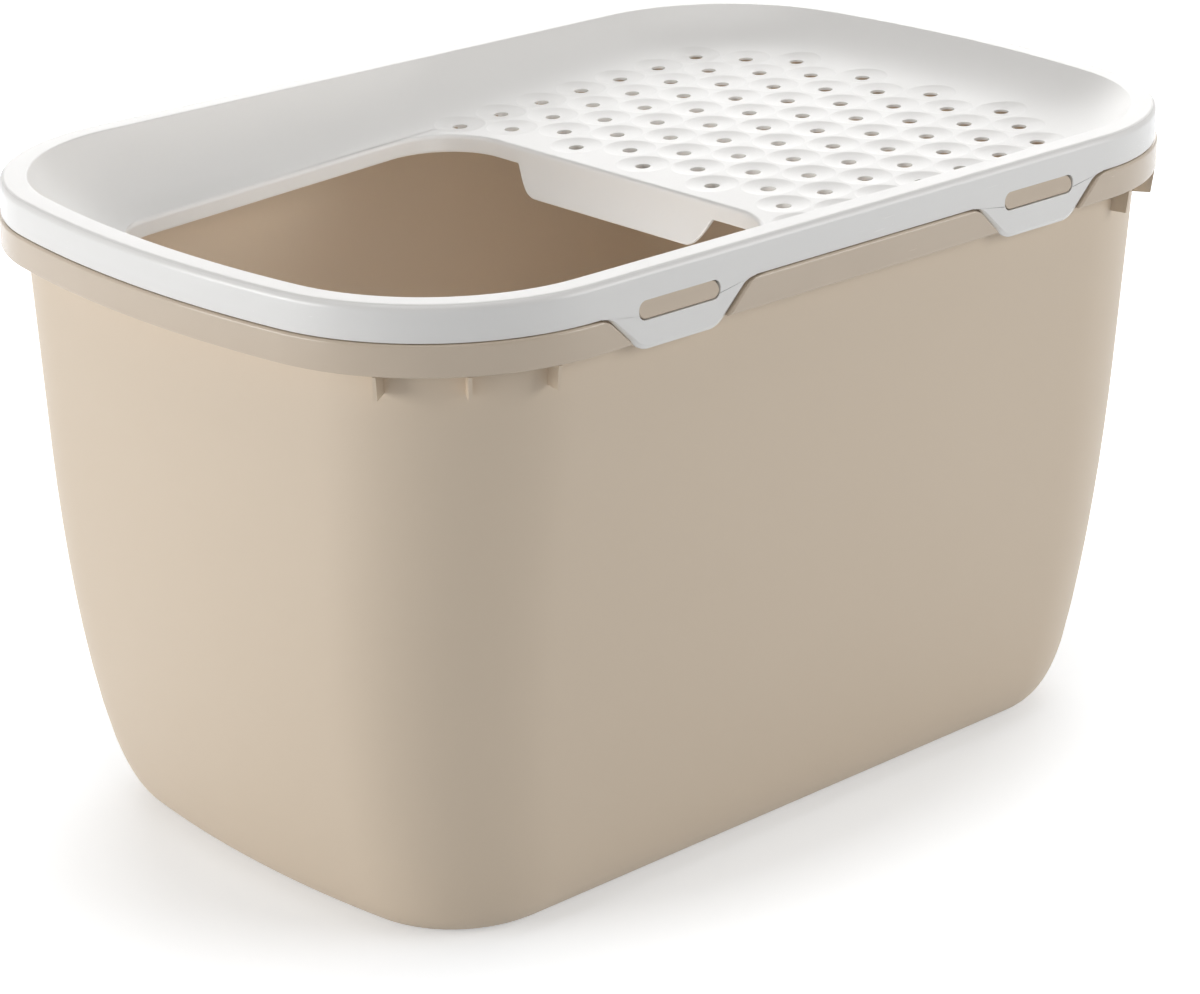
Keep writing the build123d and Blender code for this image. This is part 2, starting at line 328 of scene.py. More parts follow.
def makeScuffGroup():
    # hair scratches in two directions, and a patchy mask of handling marks
    group, start, end = newGroup(
        "handlingMarks",
        [("Vector", "NodeSocketVector", None), ("Amount", "NodeSocketFloat", 0.5)],
        [("Scratch", "NodeSocketFloat"), ("Patch", "NodeSocketFloat")],
    )
    lines = []
    for turn, stretch in ((0.5, (1.0, 0.03, 1.0)), (2.1, (0.04, 1.0, 1.0))):
        mapping = addNode(group, "ShaderNodeMapping")
        mapping.inputs["Rotation"].default_value = (0.3, 0.2, turn)
        mapping.inputs["Scale"].default_value = stretch
        group.links.new(start.outputs["Vector"], mapping.inputs["Vector"])
        noise = noiseNode(group, mapping.outputs["Vector"], 900.0, 1.0, 0.5)
        lines.append(rangeNode(group, noise.outputs["Fac"], 0.70, 0.78, 0.0, 1.0))
    both = mathNode(group, "MAXIMUM", lines[0], lines[1])
    patch = noiseNode(group, start.outputs["Vector"], 26.0, 3.0, 0.6)
    mask = rangeNode(group, patch.outputs["Fac"], 0.45, 0.7, 0.0, 1.0)
    marks = mathNode(group, "MULTIPLY", both, mask)
    marks = mathNode(group, "MULTIPLY", marks, start.outputs["Amount"])
    group.links.new(marks, end.inputs["Scratch"])
    group.links.new(mask, end.inputs["Patch"])
    return group


plastics = {
    "lidSatin": {"colour": (0.86, 0.845, 0.82), "deep": (0.845, 0.83, 0.805), "rough": 0.38,
                 "grain": 0.08, "coat": 0.0, "waves": 0.4, "waveScale": 12.0},
    "lidGloss": {"colour": (0.86, 0.845, 0.82), "deep": (0.85, 0.835, 0.81), "rough": 0.24,
                 "grain": 0.03, "coat": 0.12, "waves": 3.0, "waveScale": 24.0},
    "tubSatin": {"colour": (0.72, 0.597, 0.46), "deep": (0.71, 0.587, 0.45), "rough": 0.46,
                 "grain": 0.08, "coat": 0.0, "waves": 0.4, "waveScale": 9.0},
    "tubGloss": {"colour": (0.63, 0.52, 0.40), "deep": (0.60, 0.49, 0.375), "rough": 0.22,
                 "grain": 0.04, "coat": 0.2, "waves": 5.0, "waveScale": 34.0},
}


def makePlastic(name):
    look = plastics[name]
    material = bpy.data.materials.new(name)
    material.use_nodes = True
    tree = material.node_tree
    shader = tree.nodes["Principled BSDF"]
    place = addNode(tree, "ShaderNodeTexCoord").outputs["Object"]
    grain = addNode(tree, "ShaderNodeGroup", node_tree=grainGroup)
    setInputs(grain, Grain_Scale=2400.0, Wave_Scale=look["waveScale"], Wave_Share=look["waves"])
    marks = addNode(tree, "ShaderNodeGroup", node_tree=scuffGroup)
    setInputs(marks, Amount=0.5)
    for group in (grain, marks):
        tree.links.new(place, group.inputs["Vector"])
    tone = mixColour(tree, grain.outputs["Mask"], look["colour"], look["deep"])
    tree.links.new(tone, shader.inputs["Base Color"])
    patchy = rangeNode(tree, marks.outputs["Patch"], 0, 1, look["rough"], look["rough"] + 0.02)
    scratched = mathNode(tree, "MULTIPLY", marks.outputs["Scratch"], 0.12)
    worn = mathNode(tree, "ADD", patchy, scratched)
    tree.links.new(worn, shader.inputs["Roughness"])
    bump = addNode(tree, "ShaderNodeBump")
    setInputs(bump, Strength=look["grain"], Distance=0.0006)
    tree.links.new(grain.outputs["Height"], bump.inputs["Height"])
    tree.links.new(bump.outputs["Normal"], shader.inputs["Normal"])
    setInputs(shader, IOR=1.49, Coat_Weight=look["coat"], Coat_Roughness=0.12)
    return material


grainGroup = makeGrainGroup()
scuffGroup = makeScuffGroup()
finishes = {name: makePlastic(name) for name in plastics}
print("materials ready")


lid = {
    "skirtIn": 1.2,
    "skirtThickness": 2.5,
    "skirtLow": 327.1,        # lower edge of the skirt
    "skirtEdge": 0.5,
    "rimRadius": 3.5,         # outer edge of the rim
    "land": 15.0,             # rim band's face to the inner edge of the rim
    "landRadius": 1.3,
    "sweep": 47.0,
    "sweepTurn": 56.5,
    "depth": 26.3,            # rim to tray at the middle of the length
    "rise": 2.2,              # degrees, up towards the deck
    "floor": 4.0,
    "wall": 2.4,
    "sweepSteps": 18,
    "sweepStart": 1.6,        # degrees that the land's rounding takes from the sweep
    "underShare": 0.97,       # of the sweep's turn, on the underside
    "insideRadius": 1.5,
}

entry = {
    "edge": 12.0,
    "end": 240.0,
    "half": 134.0,
    "farHalf": 128.0,
    "cornerRadius": 40.0,
    "bow": 14.0,
    "lipRadius": 2.2,
    "wall": 2.2,
    "depth": 8.6,
    "chuteRadius": 60.0,
    "chuteTurn": 21.5,
    "chuteHalf": 57.5,
    "chuteRise": 18.0,
    "chuteFoot": 2.4,         # how round its lower corners are, and the bend above them
    "chuteHead": 1.3,
    "edgeCounts": (4, 20, 24, 20, 4),
    "collarSteps": 9,
}

deck = {
    "pitch": 30.3,
    "rowPitch": 26.2,
    "first": 18.8,
    "perRow": 7,
    "shifts": (0, 1, 2, 1, 2, 1, 2, 1, 2, 1, 0),
    "holeRadius": 4.0,
    "holeEdge": 0.35,         # rounding at the mouth of a hole
    "drill": 12.0,
    "dishRadius": 14.2,
    "dishDepth": 1.2,
    "dishRings": 7,
    "segments": 48,
}


def trayZ(x):
    return overall["height"] - lid["depth"] + tan(radians(lid["rise"])) * x


def sweepRing(turn, drop=0.0):
    # one ring of the hollow sweep, where it has turned by an angle in degrees
    full = radians(lid["sweepTurn"])
    angle = radians(turn)
    up = (1 - cos(angle)) / (1 - cos(full))
    out = sin(angle) / sin(full)
    inset = lid["land"] + lid["sweep"] * (1 - out) - drop * sin(angle)
    points = []
    for x, y in rimOutline(inset):
        floor = trayZ(x)
        z = floor + (overall["height"] - floor) * up - drop * cos(angle)
        points.append((x, y, z))
    return points


def entryOutline(grow):
    # the entry's outline in the tray, on the same eight stretches as the rim's
    radius = entry["cornerRadius"] + grow
    edge = entry["edge"] + grow
    end = entry["end"] + grow
    bow = entry["bow"]
    half = entry["half"] + grow
    farHalf = entry["farHalf"] + grow
    bowRadius = (farHalf ** 2 + bow ** 2) / (2 * bow)
    slope = (half - farHalf) / (edge + end - bow)
    lean = sqrt(1 + slope ** 2)
    nearX = edge - radius
    nearY = half + slope * (nearX - edge) - radius * lean
    bowX = bowRadius - end
    farX = -end + radius
    for _ in range(8):
        farY = half + slope * (farX - edge) - radius * lean
        farX = bowX - sqrt((bowRadius - radius) ** 2 - farY ** 2)
    tilt = atan2(slope, 1)
    turn = atan2(farY, bowX - farX)
    corner = ringCounts["corner"]
    # the cross edge has most of its points where the deep lip rises to the collar
    low = entry["chuteHalf"]
    high = entry["chuteHalf"] + entry["chuteRise"] + 3
    stops = (-nearY, -high, -low, low, high, nearY)
    points = []
    for start, stop, count in zip(stops, stops[1:], entry["edgeCounts"]):
        points += linePoints((edge, start), (edge, stop), count)
    points += arcPoints(nearX, nearY, radius, 0, pi / 2 + tilt, corner)
    sideNear = (nearX - radius * sin(tilt), nearY + radius * cos(tilt))
    sideFar = (farX - radius * sin(tilt), farY + radius * cos(tilt))
    points += linePoints(sideNear, sideFar, ringCounts["side"])
    points += arcPoints(farX, farY, radius, pi / 2 + tilt, pi - turn, corner)
    points += arcPoints(bowX, 0, bowRadius, pi - turn, pi + turn, ringCounts["farEnd"])
    points += arcPoints(farX, -farY, radius, pi + turn, 1.5 * pi - tilt, corner)
    points += linePoints((sideFar[0], -sideFar[1]), (sideNear[0], -sideNear[1]), ringCounts["side"])
    points += arcPoints(nearX, -nearY, radius, -pi / 2 - tilt, 0, corner)
    return points


def chuteShare(index, y):
    # 1 where the deep lip is at full depth, 0 where there is only the short collar
    if index > ringCounts["nearEnd"]:
        return 0.0
    t = (abs(y) - entry["chuteHalf"]) / entry["chuteRise"]
    t = max(0.0, min(1.0, t))
    return (1 - t ** entry["chuteFoot"]) ** entry["chuteHead"]


def collarRing(share, back=0.0, beyond=0.0):
    # share runs from 0 at the tray to 1 at the collar's lower edge
    start = entry["lipRadius"]
    radius = entry["chuteRadius"]
    turn = radians(entry["chuteTurn"]) * share
    points = []
    plain = entryOutline(back)
    for index, (x, y) in enumerate(plain):
        weight = chuteShare(index, y)
        depth = start + (entry["depth"] - start) * share + beyond
        arcX = entry["edge"] - radius + (radius + back) * cos(turn) - beyond * sin(turn)
        arcDepth = start + (radius + back) * sin(turn) + beyond * cos(turn)
        newX = x + (arcX - x) * weight
        newDepth = depth + (arcDepth - depth) * weight
        points.append((newX, y, trayZ(x) - newDepth))
    return points


def lidRings():
    top = overall["height"]
    skirt = lid["skirtIn"]
    inner = skirt + lid["skirtThickness"]
    low = lid["skirtLow"]
    edge = lid["skirtEdge"]
    rim = lid["rimRadius"]
    rings = [
        level(rimOutline(inner), low + edge),
        level(rimOutline(inner - edge), low),
        level(rimOutline(skirt + edge), low),
        level(rimOutline(skirt + edge * 0.3), low + edge * 0.3),
        level(rimOutline(skirt), low + edge),
        level(rimOutline(skirt), low + 5),
        level(rimOutline(skirt), top - rim - 3),
    ]
    for i in range(7):
        angle = radians(15 * i)
        inset = skirt + rim * (1 - cos(angle))
        rings.append(level(rimOutline(inset), top - rim * (1 - sin(angle))))
    # the land, its small inner rounding, and the sweep down to the tray
    full = lid["sweepTurn"]
    roundBack = lid["landRadius"] * tan(radians(full) / 2)
    for i in range(5):
        angle = radians(full * i / 4)
        inset = lid["land"] - roundBack + lid["landRadius"] * sin(angle)
        rings.append(level(rimOutline(inset), top - lid["landRadius"] * (1 - cos(angle))))
    steps = lid["sweepSteps"]
    start = full - lid["sweepStart"]
    for i in range(steps + 1):
        rings.append(sweepRing(start * (1 - i / steps)))
    # across the flat tray to the entry's rounded edge
    lip = entry["lipRadius"]
    for i in range(6):
        angle = radians(18 * i)
        grown = entryOutline(lip * (1 - sin(angle)))
        rings.append([(x, y, trayZ(x) - lip * (1 - cos(angle))) for x, y in grown])
    collarSteps = entry["collarSteps"]
    for i in range(1, collarSteps + 1):
        rings.append(collarRing(i / collarSteps))
    wall = entry["wall"]
    for i in range(1, 4):
        angle = radians(45 * i)
        rings.append(collarRing(1.0, wall / 2 * (1 - cos(angle)), wall / 2 * sin(angle)))
    for i in range(collarSteps, 1, -1):
        rings.append(collarRing(i / collarSteps, wall))
    under = [(x, y, trayZ(x) - lid["floor"]) for x, y in entryOutline(wall)]
    rings.append(under)
    for i in range(11):
        rings.append(sweepRing(full * i / 10 * lid["underShare"], lid["wall"]))
    inside = top - lid["skirtThickness"]
    rings.append(level(rimOutline(lid["land"] - lid["wall"]), inside))
    rings.append(level(rimOutline(inner + lid["insideRadius"]), inside))
    rings.append(level(rimOutline(inner), inside - lid["insideRadius"]))
    return rings


def insetAt(x, y):
    # how far a place in plan lies inside the rim's outline
    x = abs(x)
    y = abs(y)
    b = overall["halfWidth"] - overall["cornerRadius"]
    bowX = overall["halfLength"] - overall["endBow"]
    cx = bowX + sqrt((overall["endBow"] - overall["cornerRadius"]) ** 2 - b ** 2)
    if x <= cx:
        return overall["halfWidth"] - y
    if y * (cx - bowX) > b * (x - bowX):
        return overall["cornerRadius"] - sqrt((x - cx) ** 2 + (y - b) ** 2)
    return overall["endBow"] - sqrt((x - bowX) ** 2 + y ** 2)


def trayTop(x, y):
    # height of the tray's surface, sweep included
    floor = trayZ(x)
    out = 1 - (insetAt(x, y) - lid["land"]) / lid["sweep"]
    if out <= 0:
        return floor
    full = radians(lid["sweepTurn"])
    angle = asin(min(out, 1.0) * sin(full))
    return floor + (overall["height"] - floor) * (1 - cos(angle)) / (1 - cos(full))


def holePlaces():
    middleRow = (len(deck["shifts"]) - 1) / 2
    return [
        (deck["first"] + (shift / 2 + hole) * deck["pitch"], (middleRow - row) * deck["rowPitch"])
        for row, shift in enumerate(deck["shifts"])
        for hole in range(deck["perRow"])
    ]


def dishProfile():
    # radius and lift of the cutter's rings: up the hole, over its rounded mouth, and out
    # along a shallow ball to just past the dish's rim
    ball = (deck["dishRadius"] ** 2 + deck["dishDepth"] ** 2) / (2 * deck["dishDepth"])
    hole = deck["holeRadius"]
    edge = deck["holeEdge"]
    start = hole + edge
    mouth = start ** 2 / (2 * ball) - deck["dishDepth"]
    rings = [(hole / 2, -deck["drill"]), (hole, -deck["drill"])]
    for i in range(4):
        angle = radians(30 * i)
        rings.append((hole + edge * (1 - cos(angle)), mouth - edge * (1 - sin(angle))))
    end = deck["dishRadius"] + 0.3
    for i in range(1, deck["dishRings"] + 1):
        radius = start + (end - start) * sin(pi / 2 * i / deck["dishRings"])
        rings.append((radius, radius ** 2 / (2 * ball) - deck["dishDepth"]))
    return rings


def dishCutter():
    # the tool for one hole and its dish, made again for every place and joined
    profile = dishProfile()
    hole = deck["holeRadius"] * 1.01
    above = overall["height"] + 20
    tools = []
    for hx, hy in holePlaces():
        rings = []
        for radius, lift in profile:
            ring = []
            for i in range(deck["segments"]):
                angle = 2 * pi * i / deck["segments"]
                x = hx + radius * cos(angle)
                y = hy + radius * sin(angle)
                surface = trayTop(hx, hy) if radius < hole else trayTop(x, y)
                ring.append((x, y, surface + lift))
            rings.append(ring)
        rings.append([(x, y, above) for x, y, z in rings[-1]])
        low = (hx, hy, trayTop(hx, hy) - deck["drill"])
        tools.append(shapeRings("dishTool", rings, low, (hx, hy, above)))
    return joined("dishTools", tools)


def nearestHole(x, y):
    lastRow = len(deck["shifts"]) - 1
    row = max(0, min(lastRow, round(lastRow / 2 - y / deck["rowPitch"])))
    start = deck["first"] + deck["shifts"][row] / 2 * deck["pitch"]
    hole = max(0, min(deck["perRow"] - 1, round((x - start) / deck["pitch"])))
    rowY = (lastRow / 2 - row) * deck["rowPitch"]
    return sqrt((x - start - hole * deck["pitch"]) ** 2 + (y - rowY) ** 2)


def isDishRim(edge):
    return all(
        abs(nearestHole(corner.co.x * 1000, corner.co.y * 1000) - deck["dishRadius"]) < 0.4
        for corner in edge.verts
    )


clip = {
    "x": 127.2,
    "half": 50.0,
    "top": 332.7,
    "foot": 306.2,
    "footHalf": 29.8,         # half width level with the band's lower edge
    "bandLow": 310.9,
    "footRadius": 14.0,
    "shoulderRadius": 12.0,
    "slant": 45.0,
    "edge": 0.7,
    "bevel": 2.3,             # the wide shallow bevel round the tab
    "bevelDepth": 1.1,
    "slotLength": 52.4,
    "slotHeight": 9.6,
    "slotRadius": 4.2,
    "slotEdge": 0.4,
    "slotZ": 325.6,
    "gapDepth": 4.4,          # of the skirt's gap that a clip fills
    "gapLow": 320,
}


def boxBetween(name, low, high):
    deselectAll()
    size = [mm(h - l) for l, h in zip(low, high)]
    middle = [mm((h + l) / 2) for l, h in zip(low, high)]
    bpy.ops.mesh.primitive_cube_add(size=1, location=middle, scale=size)
    bpy.ops.object.transform_apply(location=True, rotation=True, scale=True)
    return namedPrimitive(name)


def makeLid():
    piece = shapeRings("lid", lidRings())
    print("lid rings laid", len(piece.data.vertices))
    face = overall["halfWidth"]
    for side in (-1, 1):
        near, far = sorted((side * (face + 2), side * (face - clip["gapDepth"])))
        for end in (-1, 1):
            low = (end * clip["x"] - clip["half"], near, clip["gapLow"])
            high = (end * clip["x"] + clip["half"], far, clip["top"])
            cutWith(piece, [boxBetween("clipGap", low, high)])
    cutWith(piece, [dishCutter()])
    print("deck cut", len(piece.data.vertices))
    piece.data.materials.clear()
    piece.data.materials.append(finishes["lidSatin"])
    piece.data.materials.append(finishes["lidGloss"])
    for polygon in piece.data.polygons:
        polygon.material_index = int(polygon.normal.z < 0.9 and isOuter(polygon.center))
    smooth(piece, crisp=isDishRim)
    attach(piece, "lid")
    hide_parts("lid_rim", "lid_tray", "lid_deck", "entry_collar")
    return piece


def isOuter(point):
    # true on the skirt, which is the lid's outermost face
    return insetAt(point.x * 1000, point.y * 1000) < lid["skirtIn"] + lid["rimRadius"] * 0.8


def clipOutline(grow=0.0, foot=None):
    # half of a clip's front outline from the middle of its foot to its shoulder, then mirrored
    slant = radians(clip["slant"])
    footZ = (clip["foot"] if foot is None else foot) - grow * (foot is None)
    shoulderZ = lid["skirtLow"]
    sideX = clip["footHalf"] + grow / cos(slant)
    footX = sideX + (footZ - clip["bandLow"]) * tan(slant)
    shoulderX = sideX + (shoulderZ - clip["bandLow"]) * tan(slant)
    half = []
    bend = pi / 2 - slant
    if foot is None:
        radius = clip["footRadius"] + grow
        back = radius * tan(bend / 2)
        for t in range(9):
            angle = bend * t / 8
            half.append((footX - back + radius * sin(angle), footZ + radius * (1 - cos(angle))))
    else:
        half.append((footX, footZ))
    radius = clip["shoulderRadius"] - grow
    back = radius * tan(bend / 2)
    for t in range(9):
        angle = bend * (1 - t / 8)
        x = shoulderX + back - radius * sin(angle)
        half.append((x, shoulderZ - radius * (1 - cos(angle))))
    return half


def plateFrom(name, outline, yNear, yFar):
    # a flat outline in XZ, extruded along Y
    deselectAll()
    bpy.ops.mesh.primitive_circle_add(vertices=len(outline), radius=1, fill_type="NGON")
    piece = namedPrimitive(name)
    for vertex, (x, z) in zip(piece.data.vertices, outline):
        vertex.co = (mm(x), mm(yNear), mm(z))
    pick(piece)
    bpy.ops.object.mode_set(mode="EDIT")
    bpy.ops.mesh.select_all(action="SELECT")
    bpy.ops.mesh.extrude_region_move(TRANSFORM_OT_translate={"value": (0, mm(yFar - yNear), 0)})
    bpy.ops.object.mode_set(mode="OBJECT")
    return cleanUp(piece)


def slotOutline():
    radius = clip["slotRadius"]
    across = clip["slotLength"] / 2 - radius
    up = clip["slotHeight"] / 2 - radius
    points = []
    for quarter, (sideX, sideZ) in enumerate(((1, 1), (-1, 1), (-1, -1), (1, -1))):
        for t in range(8):
            angle = pi / 2 * (quarter + t / 7)
            points.append((sideX * across + radius * cos(angle),
                           clip["slotZ"] + sideZ * up + radius * sin(angle)))
    return points


def clipRing(points, inset, fade, y):
    # the outline drawn in by inset, and not at all above the fade height
    ring = []
    for i, (x, z) in enumerate(points):
        beforeX, beforeZ = points[i - 1]
        afterX, afterZ = points[(i + 1) % len(points)]
        along = Vector((afterX - beforeX, afterZ - beforeZ)).normalized()
        share = max(0.0, min(1.0, (fade - z) / 6.0))
        ring.append((x - along.y * inset * share, y, z + along.x * inset * share))
    return ring


def makeClip():
    # at the middle of the front; the four are shifted and mirrored from it
    face = -overall["halfWidth"] + lid["skirtIn"]
    back = face + lid["skirtThickness"]
    half = [(min(x, clip["half"]), z) for x, z in clipOutline()]
    side = [(clip["half"], lid["skirtLow"] + 2), (clip["half"], clip["top"])]
    right = half + side
    points = right + [(-x, z) for x, z in reversed(right)]
    fade = lid["skirtLow"]
    edge = clip["edge"]
    bevel = clip["bevel"]
    rings = [
        clipRing(points, edge, fade, back),
        clipRing(points, edge * 0.3, fade, back - edge * 0.7),
        clipRing(points, 0, fade, back - edge),
        clipRing(points, 0, fade, face + clip["bevelDepth"] + edge * 0.6),
        clipRing(points, edge * 0.2, fade, face + clip["bevelDepth"] + edge * 0.2),
        clipRing(points, edge * 0.6, fade, face + clip["bevelDepth"] * 0.8),
        clipRing(points, bevel, fade, face),
    ]
    middle = (clip["foot"] + clip["top"]) / 2
    piece = shapeRings("clip", rings, (0, back, middle), (0, face, middle))
    cutWith(piece, [plateFrom("slotCutter", slotOutline(), face - 3, back + 3)])
    pick(piece)
    bpy.ops.object.mode_set(mode="EDIT")
    bpy.ops.mesh.select_all(action="DESELECT")
    mesh = bmesh.from_edit_mesh(piece.data)
    for crease in mesh.edges:
        flat = abs(crease.verts[0].co.y - crease.verts[1].co.y) < mm(0.01)
        middle = (crease.verts[0].co + crease.verts[1].co) / 2
        atSlot = abs(middle.x) < mm(28) and abs(middle.z - mm(clip["slotZ"])) < mm(5.2)
        crease.select = flat and atSlot and crease.calc_face_angle(0) > radians(60)
    bmesh.update_edit_mesh(piece.data)
    bpy.ops.mesh.bevel(offset=mm(clip["slotEdge"]), segments=3, affect="EDGES")
    bpy.ops.object.mode_set(mode="OBJECT")
    cleanUp(piece)
    piece.data.materials.clear()
    piece.data.materials.append(finishes["lidGloss"])
    return piece


def isBevelLine(edge):
    # the inner border of the bevel, which the mould leaves crisp
    face = mm(overall["halfWidth"] - lid["skirtIn"] - 0.01)
    middle = (edge.verts[0].co + edge.verts[1].co) / 2
    atSlot = (
        abs(abs(middle.x) - mm(clip["x"])) < mm(28) and abs(middle.z - mm(clip["slotZ"])) < mm(5.4)
    )
    return not atSlot and all(abs(corner.co.y) > face for corner in edge.verts)


def mirroredCopy(source, name, turnX, turnY):
    copy = source.copy()
    copy.data = source.data.copy()
    bpy.context.collection.objects.link(copy)
    copy.name = name
    copy.data.name = name
    copy.data.transform(Matrix.Diagonal((-1 if turnX else 1, -1 if turnY else 1, 1, 1)))
    return cleanUp(copy)


def placeClips():
    first = makeClip()
    first.data.transform(Matrix.Translation((mm(-clip["x"]), 0, 0)))
    for place in places:
        name = "clip" + place.title().replace("_", "")
        piece = mirroredCopy(first, name, "right" in place, "back" in place)
        smooth(piece, crisp=isBevelLine)
        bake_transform(piece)
        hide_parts("clip_" + place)
    bpy.data.objects.remove(first)


tub = {
    "wall": 2.4,
    "floor": 2.8,
    "sideOverhang": 9.7,
    "endOverhang": 16.5,
    "sideDraft": 0.105,
    "endDraft": 0.031,
    "sideFootIn": 23.0,
    "sideFootUp": 37.0,
    "endFootIn": 40.0,
    "endFootUp": 204.0,
    "cornerTop": 95.0,
    "cornerFoot": 71.0,
    "bandLow": 310.9,
    "ledge": 326.8,
    "ledgeThickness": 2.4,
    "bandThickness": 2.4,
    "shoulder": 1.5,
    "bandEdge": 1.2,
    "upstandIn": 4.6,
    "upstandThickness": 2.4,
    "upstandHeight": 11.5,
    "notchGap": 0.5,
    "shoulderGap": 0.7,       # the notch lies this far below the clip's shoulders
    "notchEdge": 0.8,         # chamfer round the mouth of a notch
}


def footIn(reachIn, reachUp, z):
    share = max(1 - z / reachUp, 0.0)
    return reachIn * (1 - sqrt(1 - share * share))


def tubRing(z, inset=0.0, lift=0.0):
    depth = tub["bandLow"] - z
    sideFoot = footIn(tub["sideFootIn"], tub["sideFootUp"], z)
    endFoot = footIn(tub["endFootIn"], tub["endFootUp"], z)
    a = overall["halfLength"] - tub["endOverhang"] - depth * tub["endDraft"] - endFoot
    b = overall["halfWidth"] - tub["sideOverhang"] - depth * tub["sideDraft"] - sideFoot
    lean = (tub["cornerTop"] - tub["cornerFoot"]) / tub["bandLow"]
    corner = tub["cornerTop"] - depth * lean - sideFoot
    outline = planOutline(a - inset, b - inset, overall["endBow"] - inset, corner - inset)
    return level(outline, z + lift)


def tubHeights(top):
    steps = 14
    up = tub["sideFootUp"]
    foot = [up * (1 - cos(pi / 2 * i / steps)) for i in range(steps + 1)]
    rest = [up + (top - up) * i / 14 for i in range(1, 15)]
    return foot + rest


def tubRings():
    ledge = tub["ledge"]
    under = ledge - tub["ledgeThickness"]
    low = tub["bandLow"]
    edge = tub["bandEdge"]
    band = tub["bandThickness"]
    rings = [tubRing(z) for z in tubHeights(under - 2)]
    rings.append(tubRing(under - 0.6, -0.5))
    rings.append(tubRing(under, -2.0))
    rings.append(level(rimOutline(band + 1.2), under))
    rings.append(level(rimOutline(band), under - 1.2))
    rings.append(level(rimOutline(band), low + 0.4))
    rings.append(level(rimOutline(edge), low))
    rings.append(level(rimOutline(edge * 0.3), low + edge * 0.3))
    rings.append(level(rimOutline(0), low + edge))
    rings.append(level(rimOutline(0), (low + ledge) / 2))
    shoulder = tub["shoulder"]
    for i in range(6):
        angle = radians(18 * i)
        inset = shoulder * (1 - cos(angle))
        rings.append(level(rimOutline(inset), ledge - shoulder * (1 - sin(angle))))
    out = tub["upstandIn"]
    back = out + tub["upstandThickness"]
    top = ledge + tub["upstandHeight"]
    rings.append(level(rimOutline(out - 0.6), ledge))
    rings.append(level(rimOutline(out), ledge + 0.6))
    rings.append(level(rimOutline(out), top - 0.8))
    rings.append(level(rimOutline(out + 0.8), top))
    rings.append(level(rimOutline(back - 0.8), top))
    rings.append(level(rimOutline(back), top - 0.8))
    rings.append(level(rimOutline(back), ledge + 0.6))
    rings.append(level(rimOutline(back + 0.6), ledge))
    wall = tub["wall"]
    lift = tub["floor"]
    rings.append(tubRing(ledge - lift, wall - 1.0, lift))
    rings.append(tubRing(ledge - lift - 1.0, wall, lift))
    for z in reversed(tubHeights(under - lift - 2)):
        rings.append(tubRing(z, wall, lift))
    return rings


def notchOutline(grow):
    # what a clip hangs through, with the clip's own rounded shoulders
    half = clipOutline(grow, tub["bandLow"] - 1)
    drop = tub["shoulderGap"]
    half = [(x, z - drop * (z > tub["bandLow"])) for x, z in half]
    end = half[-1][0] + 6
    right = half + [(end, tub["ledge"] + 0.05), (end, tub["ledge"] + 3)]
    return right + [(-x, z) for x, z in reversed(right)]


def notchCutter():
    gap = tub["notchGap"]
    edge = tub["notchEdge"]
    face = -overall["halfWidth"]
    back = face + tub["upstandIn"]
    rings = [
        [(x, y, z) for x, z in notchOutline(grow)]
        for grow, y in ((gap, back), (gap, face + edge), (gap + edge, face), (gap + edge, face - 2))
    ]
    above = tub["ledge"] + 2
    return shapeRings("notch", rings, (0, back, above), (0, face - 2, above))


def makeTub():
    piece = shapeRings("tub", tubRings(), (0, 0, 0), (0, 0, tub["floor"]))
    print("tub rings laid", len(piece.data.vertices))
    first = notchCutter()
    first.data.transform(Matrix.Translation((mm(-clip["x"]), 0, 0)))
    cutters = [mirroredCopy(first, "notch" + place, "right" in place, "back" in place)
               for place in places]
    bpy.data.objects.remove(first)
    cutWith(piece, cutters)
    piece.data.materials.clear()
    piece.data.materials.append(finishes["tubSatin"])
    piece.data.materials.append(finishes["tubGloss"])
    for polygon in piece.data.polygons:
        centre = polygon.center
        polygon.material_index = int(centre.z > mm(tub["bandLow"]) and isOuter(centre))
    smooth(piece, 32)
    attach(piece, "tub")
    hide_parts("tub_shell", "tub_rim")
    return piece


def dressNodes():
    for place in places:
        for kind, finish in (("ribs_", "tubSatin"), ("catch_", "tubGloss")):
            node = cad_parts[kind + place]
            node.data.materials.clear()
            node.data.materials.append(finishes[finish])


studio = {
    "azimuth": -43.139,
    "elevation": 21.23,
    "roll": -0.441,
    "target": (-0.1129, -0.1474, 0.2),
    "distance": 1.79534,
    "lens": 109.97,
    "sensor": 36,
    "shift": (-0.02796, 0.01648),
    "roomLight": 0.11,        # of the room's own light; 1 where the backdrop is seen
}

floorLook = {
    "side": 24.0,
    "under": 0.0005,
    "colour": (0.84, 0.87, 0.905, 1),
    "foot": (0.29, 0.19),     # half sizes of the tub's foot, which distances are counted in
    "near": (0.95, 1.45, 0.36, 0.70),   # from and to distance, from and to glow; the low glow close to the foot is painted shade
    "far": (3.0, 9.0, 0.0, 0.30),
}

